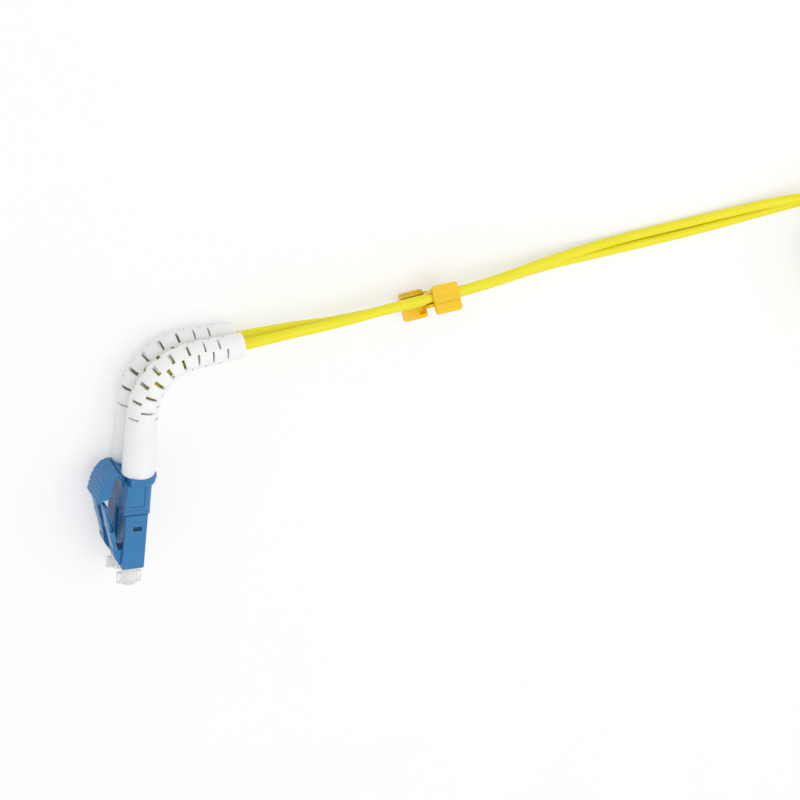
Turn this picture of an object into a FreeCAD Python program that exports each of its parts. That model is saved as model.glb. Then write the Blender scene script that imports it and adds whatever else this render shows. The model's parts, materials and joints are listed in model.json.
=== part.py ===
"""A duplex LC fibre connector with bend boots, two cords and a cord clip, in millimetres.

Frame: the part lies on its side on the plane z = 0.  Both plug axes lie in the plane x = 0, one above
the other, and the plugs point along -Y.  The latches and the trigger are on the -X side, the boots bend
towards +X.  The origin is on the resting side of the duplex clip, at the middle of its length.
"""
import math
import os
import re

import FreeCAD
import Part
import Sketcher

SIZES = {
    # the pair and its clip
    "pitch": 6.25, "clip_tall": 12.45, "clip_long": 8.2, "clip_back": 2.5, "cover_top": 2.6,
    "cover_thick": 0.7, "front_wall": 0.8, "chamber_wide": 4.0, "chamber_deep": 1.9,
    "tray_round": 1.2, "rim_thick": 1.35, "rim_reach": 3.7, "rim_round": 2.4, "notch_floor": 2.2,
    "leg_deep": 0.4, "leg_thick": 0.35, "leg_front": 1.7, "leg_rear": 2.5, "leg_reach": 0.9,
    "step_rise": 0.1, "step_flat": 1.0, "step_ramp": 0.9, "seam_gap": 0.28, "seam_deep": 0.4,
    "fit_gap": 0.05,
    # plug housing, sized from the seam where it meets the clip
    "nose_side": 4.5, "nose_long": 12.0, "nose_round": 0.25, "nose_chamfer": 0.35, "mouth_wide": 2.95,
    "mouth_deep": 4.0, "shoulder_thick": 0.7, "shoulder_hole": 1.9, "cavity_side": 3.4,
    "window_long": 0.95, "window_wide": 1.7, "window_back": 3.0, "window_shift": 0.28,
    # latch arm and the block that carries it
    "latch_wide": 2.7, "latch_thick": 0.85, "latch_slope": 0.271, "latch_reach": 9.55,
    "latch_nib": 0.3, "ear_wide": 4.4, "ear_long": 2.0, "ear_back": 2.5, "root_front": 11.1,
    "root_ramp": 1.3, "latch_axis_x": 3.45, "latch_axis_back": 7.8, "knuckle": 0.45, "knuckle_gap": 0.06,
    # backbone and crimp
    "neck_wide": 3.4, "collar_wide": 3.75, "collar_thick": 1.0, "backbone_front": 4.3,
    "post_wide": 2.3, "post_long": 3.8, "spring_bore": 2.6, "spring_seat": 1.1, "fibre_bore": 1.1,
    "lug_sunk": 0.3, "crimp_wide": 3.1, "crimp_body": 3.7, "crimp_cone": 0.5, "crimp_tail": 2.2,
    "crimp_tail_wide": 2.6,
    # ferrule, flange and spring
    "ferrule_wide": 1.249, "ferrule_proud": 1.6, "ferrule_long": 8.0, "ferrule_chamfer": 0.2,
    "flange_wide": 2.8, "flange_thick": 1.6, "flange_tail_wide": 1.65, "flange_tail": 1.4,
    "spring_wide": 2.3, "spring_wire": 0.25, "spring_turns": 5,
    # trigger
    "trigger_low": 2.8, "trigger_high": 9.65, "hinge_x": 3.15, "hinge_y": 3.45, "hinge_radius": 0.5,
    "heel_x": 3.72, "heel_y": 4.45, "crown_x": 5.15, "crown_y": 3.9, "shoulder_x": 6.04,
    "shoulder_y": 2.75, "back_x": 6.87, "back_y": 0.85, "tip_x": 7.4, "tip_y": -2.0,
    "lip_thick": 0.75, "lip_long": 0.65, "palate_x": 6.2, "chin_x": 5.01, "chin_y": -1.08,
    "belly_x": 4.64, "belly_y": 0.55, "throat_x": 4.26, "throat_y": 3.25, "rib_deep": 0.12,
    # boots
    "boot_shift": 0.3, "boot_straight": 12.7, "bend_radius": 11.0, "bend_turn": 84.5, "boot_tail": 9.5,
    "boot_base_half": 3.2, "boot_base_tall": 3.05, "boot_neck_half": 3.0, "boot_end_half": 2.45,
    "boot_end_tall": 2.5, "boot_socket": 3.8, "boot_socket_deep": 8.4, "boot_bore": 3.5,
    "bend_bore": 4.1, "low_end_drop": 0.5, "high_end_drop": 1.5, "slit_pitch": 3.0, "slit_lead": 0.5,
    "slit_wide": 2.6, "slit_open": 0.7, "slit_shut": 0.3, "slit_rings": 8, "boot_sides": 20,
    # cords, coils and ties
    "cord_wide": 2.0, "first_run": 9.5, "cord_lean": 0.45, "bend_lean": 0.75, "cord_rise": 0.55,
    "coil_mean": 22.0, "coil_pack": 2.05, "coil_columns": 4, "coil_rows": 3, "coil_x": 168.2,
    "coil_y": 39.6, "tie_thick": 0.4, "tie_wide": 5.0,
    # cord clip
    "cclip_x": 60.6, "cclip_y": 34.2, "cclip_yaw": 9.8, "cclip_tilt": 36.87, "cclip_half": 7.0,
    "cclip_wing": 3.4, "cclip_plate": 1.1, "cclip_channel": 2.2, "cclip_wall": 0.85,
    "cclip_depth": 4.2, "cclip_gap": 0.8, "cclip_slot_long": 1.5, "cclip_slot_wide": 0.9,
    "cclip_round": 0.8,
    # dust caps
    "cap_wide": 3.2, "cap_plug": 2.75, "cap_plug_long": 2.6, "cap_proud": 3.8, "cap_bore": 2.0,
    "cap_end": 1.4, "cap_wing": 4.8, "cap_wing_long": 2.2, "cap_wing_thick": 1.0,
}
LEVELS = {"lower": "(clip_tall - pitch) / 2", "upper": "(clip_tall + pitch) / 2"}
SEAM = "-clip_long / 2"

# Each free cord's points between the run out of its boot and its coil: x, y, z.
LOWER_ROUTE = [
    (41.0, 30.35, 3.75), (53.7, 32.38, 3.76), (71.0, 35.37, 3.76), (86.0, 38.3, 1.6),
    (102.0, 40.6, 1.0), (123.0, 44.2, 1.0), (146.0, 49.1, 1.0),
]
UPPER_ROUTE = [
    (41.0, 30.95, 5.8), (53.7, 33.64, 5.44), (71.0, 36.63, 5.44), (86.0, 39.85, 3.1),
    (102.0, 42.9, 1.2), (123.0, 46.5, 1.0), (144.0, 50.95, 2.4), (154.5, 53.2, 7.6),
]

doc = FreeCAD.newDocument("duplex_fibre_plug")
sheet = doc.addObject("Spreadsheet::Sheet", "Sizes")
for row, (alias, number) in enumerate(SIZES.items(), start=1):
    sheet.set(f"A{row}", alias.replace("_", " "))
    sheet.set(f"B{row}", str(number))
    sheet.setAlias(f"B{row}", alias)
doc.recompute()
subparts = []


# ---- helpers ----

def size(alias):
    """A size as the sheet holds it."""
    return float(sheet.get(alias))


def cell(text):
    """An expression whose size names are read from the sheet."""
    return re.sub(r"[a-z_]+", lambda word: f"Sizes.{word[0]}" if word[0] in SIZES else word[0], text)


def place(thing, x="0", y="0", z="0"):
    for axis, text in zip("xyz", (x, y, z)):
        thing.setExpression(f"Placement.Base.{axis}", cell(text))


def subpart(thing, name):
    thing.Label = name
    subparts.append(thing)
    return thing


def new_body(name, x="0", y="0", z="0"):
    body = doc.addObject("PartDesign::Body", name)
    place(body, x, y, z)
    return subpart(body, name)


def new_sketch(body, plane, lift="0"):
    """An empty sketch on one of the body's own planes, moved along that plane's normal."""
    sketch = body.newObject("Sketcher::SketchObject", "outline")
    support = next(f for f in body.Origin.OriginFeatures if f.Role == plane)
    sketch.AttachmentSupport = (support, [""])
    sketch.MapMode = "FlatFace"
    sketch.setExpression("AttachmentOffset.Base.z", cell(lift))
    return sketch


def pin(sketch, item, point, x, y):
    """Fixes a point of the sketch at two expressions."""
    for kind, text in (("DistanceX", x), ("DistanceY", y)):
        index = sketch.addConstraint(Sketcher.Constraint(kind, item, point, 1.0))
        sketch.setExpression(f"Constraints[{index}]", cell(text))


def polygon(body, plane, corners, lift="0"):
    """A closed outline with a straight side between each two corners, given as expressions."""
    sketch = new_sketch(body, plane, lift)
    count = len(corners)
    ring = [
        FreeCAD.Vector(math.cos(math.tau * k / count), math.sin(math.tau * k / count), 0)
        for k in range(count)
    ]
    for k in range(count):
        sketch.addGeometry(Part.LineSegment(ring[k], ring[(k + 1) % count]), False)
    for k in range(count):
        sketch.addConstraint(Sketcher.Constraint("Coincident", k, 2, (k + 1) % count, 1))
    for k, (x, y) in enumerate(corners):
        pin(sketch, k, 1, x, y)
    return sketch


def rectangle(body, plane, low, high, lift="0"):
    (x0, y0), (x1, y1) = low, high
    return polygon(body, plane, [(x0, y0), (x1, y0), (x1, y1), (x0, y1)], lift)


def circle(body, plane, x, y, radius, lift="0"):
    sketch = new_sketch(body, plane, lift)
    up = FreeCAD.Vector(0, 0, 1)
    sketch.addGeometry(Part.Circle(FreeCAD.Vector(0, 0, 0), up, 1.0), False)
    index = sketch.addConstraint(Sketcher.Constraint("Radius", 0, 1.0))
    sketch.setExpression(f"Constraints[{index}]", cell(radius))
    pin(sketch, 0, 3, x, y)
    return sketch


def feature(body, kind, sketch, length=None, both_ways=False, backwards=False):
    made = body.newObject(f"PartDesign::{kind}", kind.lower())
    made.Profile = sketch
    if length is None:
        made.ReferenceAxis = (sketch, ["V_Axis"])
        made.Angle = 360
    else:
        made.setExpression("Length", cell(length))
        made.Midplane = both_ways
    made.Reversed = backwards
    sketch.Visibility = False
    doc.recompute()
    return made


def pad(body, sketch, length, both_ways=False, backwards=False):
    return feature(body, "Pad", sketch, length, both_ways, backwards)


def pocket(body, sketch, length, both_ways=False, backwards=False):
    """A cut that must take something away."""
    before = body.Shape.Volume
    made = feature(body, "Pocket", sketch, length, both_ways, backwards)
    check_cut(body, before)
    return made


def revolve(body, corners):
    """A solid turned about the body's Y axis: corners are radius and y."""
    return feature(body, "Revolution", polygon(body, "XY_Plane", corners))


def groove(body, corners):
    before = body.Shape.Volume
    made = feature(body, "Groove", polygon(body, "XY_Plane", corners))
    check_cut(body, before)
    return made


def check_cut(body, before):
    if not 1e-6 < body.Shape.Volume < before - 1e-6:
        raise RuntimeError(f"a cut in {body.Label} took nothing or everything away")


def dress(body, kind, base, amount, chosen):
    """Rounds or chamfers the edges of base that chosen accepts."""
    names = [f"Edge{k}" for k, edge in enumerate(base.Shape.Edges, start=1) if chosen(edge)]
    made = body.newObject(f"PartDesign::{kind}", kind.lower())
    made.Base = (base, names)
    made.setExpression("Radius" if kind == "Fillet" else "Size", cell(amount))
    doc.recompute()
    return made


def runs_along(edge, axis):
    direction = edge.Vertexes[-1].Point - edge.Vertexes[0].Point
    return len(edge.Vertexes) == 2 and abs(abs(direction.normalize()[axis]) - 1) < 1e-6


def lies_at(edge, axis, position):
    return all(abs(vertex.Point[axis] - position) < 1e-6 for vertex in edge.Vertexes)


def shaped(name, shape):
    """A sub-part whose shape neither sketches nor primitives give."""
    thing = doc.addObject("Part::Feature", name)
    thing.Shape = shape
    return subpart(thing, name)


# ---- plug ----

def plug_housing(side, level):
    body = new_body(f"plug_housing_{side}", y=SEAM, z=level)
    half = "nose_side / 2"
    square = rectangle(body, "XZ_Plane", (f"-{half}", f"-{half}"), (half, half))
    nose = pad(body, square, "nose_long")
    front = -size("nose_long")
    nose = dress(body, "Chamfer", nose, "nose_chamfer", lambda edge: lies_at(edge, 1, front))
    dress(body, "Fillet", nose, "nose_round", lambda edge: runs_along(edge, 1))
    block = polygon(body, "XY_Plane", [
        ("-nose_side / 2 + knuckle", "-root_front"),
        ("-nose_side / 2 - nose_round", "-root_front"),
        ("-latch_axis_x", "-root_front + root_ramp"),
        ("-latch_axis_x - knuckle", "-latch_axis_back - 2 * knuckle"),
        ("-latch_axis_x - knuckle", "-latch_axis_back - knuckle / 2"),
        ("-latch_axis_x", "-latch_axis_back"),
        ("-nose_side / 2 - nose_round", "-latch_axis_back"),
        ("-nose_side / 2 + knuckle", "-latch_axis_back + knuckle"),
    ])
    pad(body, block, "latch_wide", both_ways=True)
    socket = circle(body, "XY_Plane", "-latch_axis_x", "-latch_axis_back", "knuckle + knuckle_gap")
    pocket(body, socket, "nose_side", both_ways=True)
    groove(body, [
        ("0", "-nose_long - nose_chamfer"),
        ("mouth_wide / 2", "-nose_long - nose_chamfer"),
        ("mouth_wide / 2", "-nose_long + mouth_deep"),
        ("shoulder_hole / 2", "-nose_long + mouth_deep"),
        ("shoulder_hole / 2", "-nose_long + mouth_deep + shoulder_thick + fit_gap"),
        ("0", "-nose_long + mouth_deep + shoulder_thick + fit_gap"),
    ])
    inner = "cavity_side / 2"
    cavity = rectangle(body, "XZ_Plane", (f"-{inner}", f"-{inner}"), (inner, inner))
    pocket(body, cavity, "nose_long - mouth_deep - shoulder_thick", backwards=True)
    window = rectangle(
        body, "XY_Plane",
        ("window_shift - window_wide / 2", "-window_back - window_long / 2"),
        ("window_shift + window_wide / 2", "-window_back + window_long / 2"),
    )
    pocket(body, window, "nose_side * 2", both_ways=True)


def latch_line(back, inner="0"):
    """A corner on the latch arm's outer face, or inside it, at a distance behind the hinge axis."""
    x = f"-latch_axis_x - knuckle - ({back}) * latch_slope + ({inner})"
    return x, f"-latch_axis_back + ({back})"


def latch_arm(side, level):
    body = new_body(f"latch_arm_{side}", y=SEAM, z=level)
    arm = polygon(body, "XY_Plane", [
        latch_line("0"),
        latch_line("latch_reach - latch_nib * 2"),
        latch_line("latch_reach", "latch_nib"),
        latch_line("latch_reach", "latch_thick"),
        latch_line("0", "2 * knuckle"),
    ])
    pad(body, arm, "latch_wide", both_ways=True)
    knuckle = circle(body, "XY_Plane", "-latch_axis_x", "-latch_axis_back", "knuckle")
    pad(body, knuckle, "latch_wide", both_ways=True)
    ears = polygon(body, "XY_Plane", [
        latch_line("ear_back", "latch_thick / 4"),
        latch_line("ear_back + ear_long"),
        latch_line("ear_back + ear_long", "latch_thick"),
        latch_line("ear_back", "latch_thick"),
    ])
    pad(body, ears, "ear_wide", both_ways=True)


def backbone(side, level):
    """The inner body: snapped into the nose, held by its collar in the clip, with the crimp post behind."""
    body = new_body(f"backbone_{side}", y=SEAM, z=level)
    half = "cavity_side / 2 - fit_gap"
    front = rectangle(body, "XZ_Plane", (f"-({half})", f"-({half})"), (half, half))
    pad(body, front, "backbone_front")
    lug = rectangle(
        body, "XY_Plane",
        ("window_shift - window_wide / 2 + fit_gap", "-window_back - window_long / 2 + fit_gap"),
        ("window_shift + window_wide / 2 - fit_gap", "-window_back + window_long / 2 - fit_gap"),
    )
    pad(body, lug, "nose_side - 2 * lug_sunk", both_ways=True)
    revolve(body, [
        ("0", "0"),
        ("neck_wide / 2", "0"),
        ("neck_wide / 2", "front_wall"),
        ("collar_wide / 2", "front_wall"),
        ("collar_wide / 2", "front_wall + collar_thick"),
        ("neck_wide / 2", "front_wall + collar_thick"),
        ("neck_wide / 2", "clip_long"),
        ("post_wide / 2", "clip_long"),
        ("post_wide / 2", "clip_long + post_long"),
        ("0", "clip_long + post_long"),
    ])
    groove(body, [
        ("0", "-backbone_front - fit_gap"),
        ("spring_bore / 2", "-backbone_front - fit_gap"),
        ("spring_bore / 2", "-spring_seat"),
        ("fibre_bore / 2", "-spring_seat"),
        ("fibre_bore / 2", "clip_long + post_long + fit_gap"),
        ("0", "clip_long + post_long + fit_gap"),
    ])


def crimp_sleeve(side, level):
    body = new_body(f"crimp_sleeve_{side}", y=SEAM, z=level)
    step = "clip_long + crimp_body"
    end = f"{step} + crimp_cone + crimp_tail"
    revolve(body, [
        ("post_wide / 2 + fit_gap", "clip_long"),
        ("crimp_wide / 2", "clip_long"),
        ("crimp_wide / 2", step),
        ("crimp_tail_wide / 2", f"{step} + crimp_cone"),
        ("crimp_tail_wide / 2", end),
        ("cord_wide / 2", end),
        ("cord_wide / 2", "clip_long + post_long"),
        ("post_wide / 2 + fit_gap", "clip_long + post_long"),
    ])


FERRULE_TIP = "-nose_long - ferrule_proud"
SHOULDER = "-nose_long + mouth_deep + shoulder_thick"


def ferrule(side, level):
    body = new_body(f"ferrule_{side}", y=SEAM, z=level)
    revolve(body, [
        ("0", FERRULE_TIP),
        ("ferrule_wide / 2 - ferrule_chamfer", FERRULE_TIP),
        ("ferrule_wide / 2", f"{FERRULE_TIP} + ferrule_chamfer * 2"),
        ("ferrule_wide / 2", f"{FERRULE_TIP} + ferrule_long"),
        ("0", f"{FERRULE_TIP} + ferrule_long"),
    ])


def ferrule_flange(side, level):
    """The metal flange that grips the ferrule's back end and carries the front of the spring."""
    body = new_body(f"ferrule_flange_{side}", y=SEAM, z=level)
    seat = f"{SHOULDER} + fit_gap"
    revolve(body, [
        ("ferrule_wide / 2", seat),
        ("flange_wide / 2", seat),
        ("flange_wide / 2", f"{seat} + flange_thick"),
        ("flange_tail_wide / 2", f"{seat} + flange_thick"),
        ("flange_tail_wide / 2", f"{seat} + flange_thick + flange_tail"),
        ("ferrule_wide / 2", f"{seat} + flange_thick + flange_tail"),
    ])


def ferrule_spring(side, level):
    """A square-wire coil spring between the flange and its seat in the backbone."""
    wire = size("spring_wire")
    start = -size("nose_long") + size("mouth_deep") + size("shoulder_thick") + size("fit_gap")
    start += size("flange_thick")
    rise = -size("spring_seat") - start - wire
    radius = (size("spring_wide") - wire) / 2
    per_turn = 12
    steps = int(size("spring_turns")) * per_turn
    rings = []
    for k in range(steps + 1):
        angle = math.tau * k / per_turn
        height = start + rise * k / steps
        rings.append([
            FreeCAD.Vector(reach * math.cos(angle), height + up, reach * math.sin(angle))
            for reach, up in (
                (radius - wire / 2, 0), (radius + wire / 2, 0), (radius + wire / 2, wire),
                (radius - wire / 2, wire),
            )
        ])
    faces = [facet(rings[0]), facet(rings[-1])]
    for before, after in zip(rings, rings[1:]):
        for k in range(4):
            a, b, c, d = before[k], before[(k + 1) % 4], after[(k + 1) % 4], after[k]
            faces += [facet([a, b, c]), facet([a, c, d])]
    solid = Part.Solid(Part.Shell(faces))
    if solid.Volume < 0:
        solid.reverse()
    place(shaped(f"ferrule_spring_{side}", solid), y=SEAM, z=level)


def facet(corners):
    return Part.Face(Part.makePolygon(corners + corners[:1]))


# ---- clip and trigger ----

def clip_base():
    """The tray that holds both plugs, open towards the cover, with the rim that the boots butt on."""
    body = new_body("clip_base")
    inner_rear = "clip_long / 2 - rim_thick"
    tray = rectangle(
        body, "XY_Plane", ("-cover_top + cover_thick", SEAM), ("clip_back", inner_rear)
    )
    base = pad(body, tray, "clip_tall")
    back = size("clip_back")
    dress(body, "Fillet", base, "tray_round",
          lambda edge: runs_along(edge, 1) and lies_at(edge, 0, back))
    rim = rectangle(body, "XY_Plane", ("-rim_reach", inner_rear), ("rim_reach", "clip_long / 2"))
    base = pad(body, rim, "clip_tall")
    reach = size("rim_reach")
    dress(body, "Fillet", base, "rim_round",
          lambda edge: runs_along(edge, 1) and abs(abs(edge.Vertexes[0].X) - reach) < 1e-6)
    for level in LEVELS.values():
        chamber = rectangle(
            body, "XY_Plane", ("-rim_reach", f"{SEAM} + front_wall"), ("chamber_deep", inner_rear), level
        )
        pocket(body, chamber, "chamber_wide", both_ways=True)
        mouth = rectangle(
            body, "XY_Plane", ("-rim_reach", f"{SEAM} - front_wall"), ("0", f"{SEAM} + front_wall"), level
        )
        pocket(body, mouth, "neck_wide + 2 * fit_gap", both_ways=True)
        neck = circle(body, "XZ_Plane", "0", level, "neck_wide / 2 + fit_gap")
        pocket(body, neck, "clip_long * 2", both_ways=True)
    for lift, backwards in (("0", True), ("clip_tall", False)):
        recess = rectangle(
            body, "XY_Plane", ("-rim_reach", "-leg_front - fit_gap"),
            ("leg_reach + fit_gap", "leg_rear + fit_gap"), lift
        )
        pocket(body, recess, "leg_deep", backwards=backwards)
    notch = rectangle(
        body, "XY_Plane", ("-rim_reach * 2", "0"), ("-notch_floor", "clip_long"),
        "(trigger_low + trigger_high) / 2"
    )
    pocket(body, notch, "trigger_high - trigger_low + 2 * fit_gap", both_ways=True)
    step_down(body)


def step_down(body):
    """Brings the clip's two sides down to the plugs' own height in front, with a gap at the seam."""
    flush = "(clip_tall + pitch + nose_side) / 2 + step_rise"
    for side in ("{}", "clip_tall - ({})"):
        step = polygon(body, "YZ_Plane", [
            (f"{SEAM} - front_wall", side.format(f"{flush} - seam_deep")),
            (f"{SEAM} + seam_gap", side.format(f"{flush} - seam_deep")),
            (f"{SEAM} + seam_gap", side.format(flush)),
            (f"{SEAM} + step_flat", side.format(flush)),
            (f"{SEAM} + step_flat + step_ramp", side.format("clip_tall")),
            (f"{SEAM} + step_flat + step_ramp", side.format("clip_tall + front_wall")),
            (f"{SEAM} - front_wall", side.format("clip_tall + front_wall")),
        ])
        pocket(body, step, "4 * rim_reach", both_ways=True)


def clip_cover():
    """The plate that closes the tray, with a snap leg on each side and the trigger's hinge block."""
    body = new_body("clip_cover")
    plate = rectangle(
        body, "XY_Plane", ("-cover_top", SEAM), ("-cover_top + cover_thick", "clip_long / 2 - rim_thick")
    )
    pad(body, plate, "clip_tall")
    step_down(body)
    for lift in ("leg_deep - leg_thick", "clip_tall - leg_deep"):
        leg = rectangle(
            body, "XY_Plane", ("-cover_top", "-leg_front"), ("leg_reach", "leg_rear"), lift
        )
        pad(body, leg, "leg_thick")
    middle = "(trigger_low + trigger_high) / 2"
    block = polygon(body, "XY_Plane", [
        ("-notch_floor", "hinge_y - 3 * hinge_radius"),
        ("-cover_top", "hinge_y - 5 * hinge_radius"),
        ("-hinge_x + fit_gap", "hinge_y - 2 * hinge_radius"),
        ("-hinge_x + fit_gap", "clip_long / 2"),
        ("-notch_floor", "clip_long / 2"),
    ], middle)
    pad(body, block, "trigger_high - trigger_low", both_ways=True)
    socket = circle(body, "XY_Plane", "-hinge_x", "hinge_y", "hinge_radius + knuckle_gap", middle)
    pocket(body, socket, "trigger_high", both_ways=True)


def ribs(start, end, count):
    """Corners of low ribs evenly spaced along one straight stretch of the trigger's outer face."""
    corners = []
    for k in range(count):
        for part, deep in ((0.15, 0), (0.3, 1), (0.6, 1), (0.75, 0)):
            along = (k + part) / count
            x = f"({start[0]}) * {1 - along:.4f} + ({end[0]}) * {along:.4f} - rib_deep * {deep}"
            y = f"({start[1]}) * {1 - along:.4f} + ({end[1]}) * {along:.4f}"
            corners.append((x, y))
    return corners


def trigger():
    body = new_body("trigger", z="(trigger_low + trigger_high) / 2")
    shoulder = ("-shoulder_x", "shoulder_y")
    back = ("-back_x", "back_y")
    tip = ("-tip_x", "tip_y")
    blade = polygon(body, "XY_Plane", [
        ("-hinge_x", "hinge_y + hinge_radius * 0.9"),
        ("-heel_x", "heel_y"),
        ("-crown_x", "crown_y"),
        shoulder, *ribs(shoulder, back, 2),
        back, *ribs(back, tip, 3),
        tip,
        ("-tip_x + lip_thick", "tip_y"),
        ("-tip_x + lip_thick", "tip_y + lip_long"),
        ("-palate_x", "tip_y + lip_long"),
        ("-chin_x", "chin_y"),
        ("-belly_x", "belly_y"),
        ("-throat_x", "throat_y"),
        ("-hinge_x", "hinge_y - hinge_radius * 0.5"),
    ])
    pad(body, blade, "trigger_high - trigger_low", both_ways=True)
    knuckle = circle(body, "XY_Plane", "-hinge_x", "hinge_y", "hinge_radius")
    pad(body, knuckle, "trigger_high - trigger_low", both_ways=True)


# ---- boots ----

def boot_station(along, side):
    """Centre, heading and half sizes of the boot, at a length behind the clip's rim."""
    straight, radius = size("boot_straight"), size("bend_radius")
    turn = math.radians(size("bend_turn"))
    bent = min(max(along - straight, 0), radius * turn)
    past = max(along - straight - radius * turn, 0)
    angle = bent / radius
    heading = FreeCAD.Vector(math.sin(angle), math.cos(angle), 0)
    centre = FreeCAD.Vector(size("boot_shift"), size("clip_long") / 2 + min(along, straight), 0)
    centre += FreeCAD.Vector(radius * (1 - math.cos(angle)), radius * math.sin(angle), 0)
    centre += heading * past
    flexed = radius * turn + size("boot_tail")
    share = max(along - straight, 0) / flexed
    drop = size("low_end_drop") if side == "lower" else size("high_end_drop")
    sign = -1 if side == "lower" else 1
    centre.z = (size("clip_tall") + sign * size("pitch")) / 2 - drop * share ** 2
    if along < straight:
        base = along / straight
        half = size("boot_base_half") + (size("boot_neck_half") - size("boot_base_half")) * base
    else:
        half = size("boot_neck_half") + (size("boot_end_half") - size("boot_neck_half")) * share
    whole = along / (straight + flexed)
    tall = size("boot_base_tall") + (size("boot_end_tall") - size("boot_base_tall")) * whole
    return centre, heading, half, tall


def bore_radius(along):
    """Half the boot's bore, which is widest where the bend starts."""
    straight = size("boot_straight")
    share = along / straight if along < straight else (boot_length() - along) / (boot_length() - straight)
    return (size("boot_bore") + (size("bend_bore") - size("boot_bore")) * share) / 2


def boot_length():
    bend = size("bend_radius") * math.radians(size("bend_turn"))
    return size("boot_straight") + bend + size("boot_tail")


def section_frame(centre, across, along, heading):
    """A matrix that carries the X, Y and Z axes to three vectors at a point."""
    return FreeCAD.Matrix(
        across.x, along.x, heading.x, centre.x,
        across.y, along.y, heading.y, centre.y,
        across.z, along.z, heading.z, centre.z,
        0, 0, 0, 1,
    )


def oval(centre, heading, half, tall):
    """A many-sided oval across the heading, with one axis in the plane of the bend and one upright."""
    outward = FreeCAD.Vector(-heading.y, heading.x, 0) * half
    upward = FreeCAD.Vector(0, 0, tall)
    sides = int(size("boot_sides"))
    swell = math.sqrt(math.pi / sides / math.sin(math.pi / sides))
    corners = []
    for k in range(sides):
        angle = math.tau * (k + 0.5) / sides
        corners.append(centre + outward * (math.sin(angle) * swell) + upward * (math.cos(angle) * swell))
    return Part.makePolygon(corners + corners[:1])


def boot_stations():
    """Lengths at which the boot's section is set: half-way between the slits, and both ends."""
    first = size("boot_straight") - size("slit_lead") - size("slit_pitch") / 4
    step = size("slit_pitch") / 2
    inner = [first + step * k for k in range(2 * int(size("slit_rings")) + 1)]
    return [0] + inner + [boot_length()]


def slit(along, turned, side):
    """A cutter through the wall at one angle, counted from +Z towards the outside of the bend."""
    centre, heading, half, tall = boot_station(along, side)
    outward = FreeCAD.Vector(-heading.y, heading.x, 0)
    angle = math.radians(turned)
    radial = outward * math.sin(angle) + FreeCAD.Vector(0, 0, math.cos(angle))
    across = heading.cross(radial)
    middle = (size("slit_open") + size("slit_shut")) / 2
    thick = middle + (size("slit_open") - size("slit_shut")) / 2 * math.sin(angle)
    wide = size("slit_wide")
    box = Part.makeBox(size("boot_base_half") * 2, wide, thick, FreeCAD.Vector(0.0, -wide / 2, -thick / 2))
    box.Placement = FreeCAD.Placement(section_frame(centre, radial, across, heading))
    return box


def boot(side, level):
    """An oval sleeve that bends with the cord: its wall is cut by rings of three slits, turned in turn."""
    stations = [boot_station(along, side) for along in boot_stations()]
    outer = Part.makeLoft([oval(*station) for station in stations], True, True)
    rings = []
    for along, (centre, heading, _, _) in zip(boot_stations(), stations):
        radius = bore_radius(along)
        rings.append(oval(centre, heading, radius, radius))
    bore = Part.makeLoft(rings, True, True)
    base = stations[0][0]
    socket = Part.makeCylinder(size("boot_socket") / 2, size("boot_socket_deep"), base, stations[0][1])
    cutters = [bore, socket]
    first = size("boot_straight") - size("slit_lead")
    for ring in range(2 * int(size("slit_rings"))):
        start = 60 if ring % 2 == 0 else 0
        along = first + size("slit_pitch") / 2 * ring
        cutters += [slit(along, start + 120 * k, side) for k in range(3)]
    shaped(f"boot_{side}", outer.cut(cutters))


# ---- cords ----

def tube(name, points, report):
    """A round tube along straight runs joined by tangent arcs."""
    runs = [after - before for before, after in zip(points, points[1:])]
    edges = []
    start = points[0]
    radii = []
    for k in range(1, len(points) - 1):
        into, out = runs[k - 1], runs[k]
        tangent = 0.45 * min(into.Length, out.Length)
        half = into.getAngle(out) / 2
        radii.append(tangent / math.tan(half))
        first = points[k] - into.normalize() * tangent
        last = points[k] + FreeCAD.Vector(out).normalize() * tangent
        middle_way = (first + last) / 2 - points[k]
        reach = radii[-1] / math.cos(half) - radii[-1]
        middle = points[k] + middle_way.normalize() * reach
        edges.append(Part.LineSegment(start, first).toShape())
        edges.append(Part.Arc(first, middle, last).toShape())
        start = last
    edges.append(Part.LineSegment(start, points[-1]).toShape())
    path = Part.Wire(edges)
    radius = size("cord_wide") / 2
    section = Part.Wire(Part.makeCircle(radius, points[0], points[1] - points[0]))
    solid = path.makePipeShell([section], True, True)
    expected = math.pi * radius ** 2 * path.Length
    print(f"{name}: length {path.Length:.2f}, volume {solid.Volume:.2f} of {expected:.2f},"
          f" smallest radius {min(radii):.1f}")
    if report and abs(solid.Volume / expected - 1) > 0.01:
        raise RuntimeError(f"{name} isn't a plain tube")
    shaped(name, solid)
    return path.Length


def cord_offset(along, side):
    """Where the cord runs beside the boot's middle: it lies against the inside of the bend."""
    length = boot_length()
    flexed = max(along - size("boot_straight"), 0) / (length - size("boot_straight"))
    lean = size("bend_lean") + (size("cord_lean") - size("bend_lean")) * flexed
    rise = size("cord_rise") * flexed * (1 if side == "lower" else -1)
    return lean, rise


def boot_cord_point(along, side):
    centre, heading, _, _ = boot_station(along, side)
    lean, rise = cord_offset(along, side)
    inward = FreeCAD.Vector(heading.y, -heading.x, 0)
    return centre + inward * lean + FreeCAD.Vector(0, 0, rise)


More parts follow.
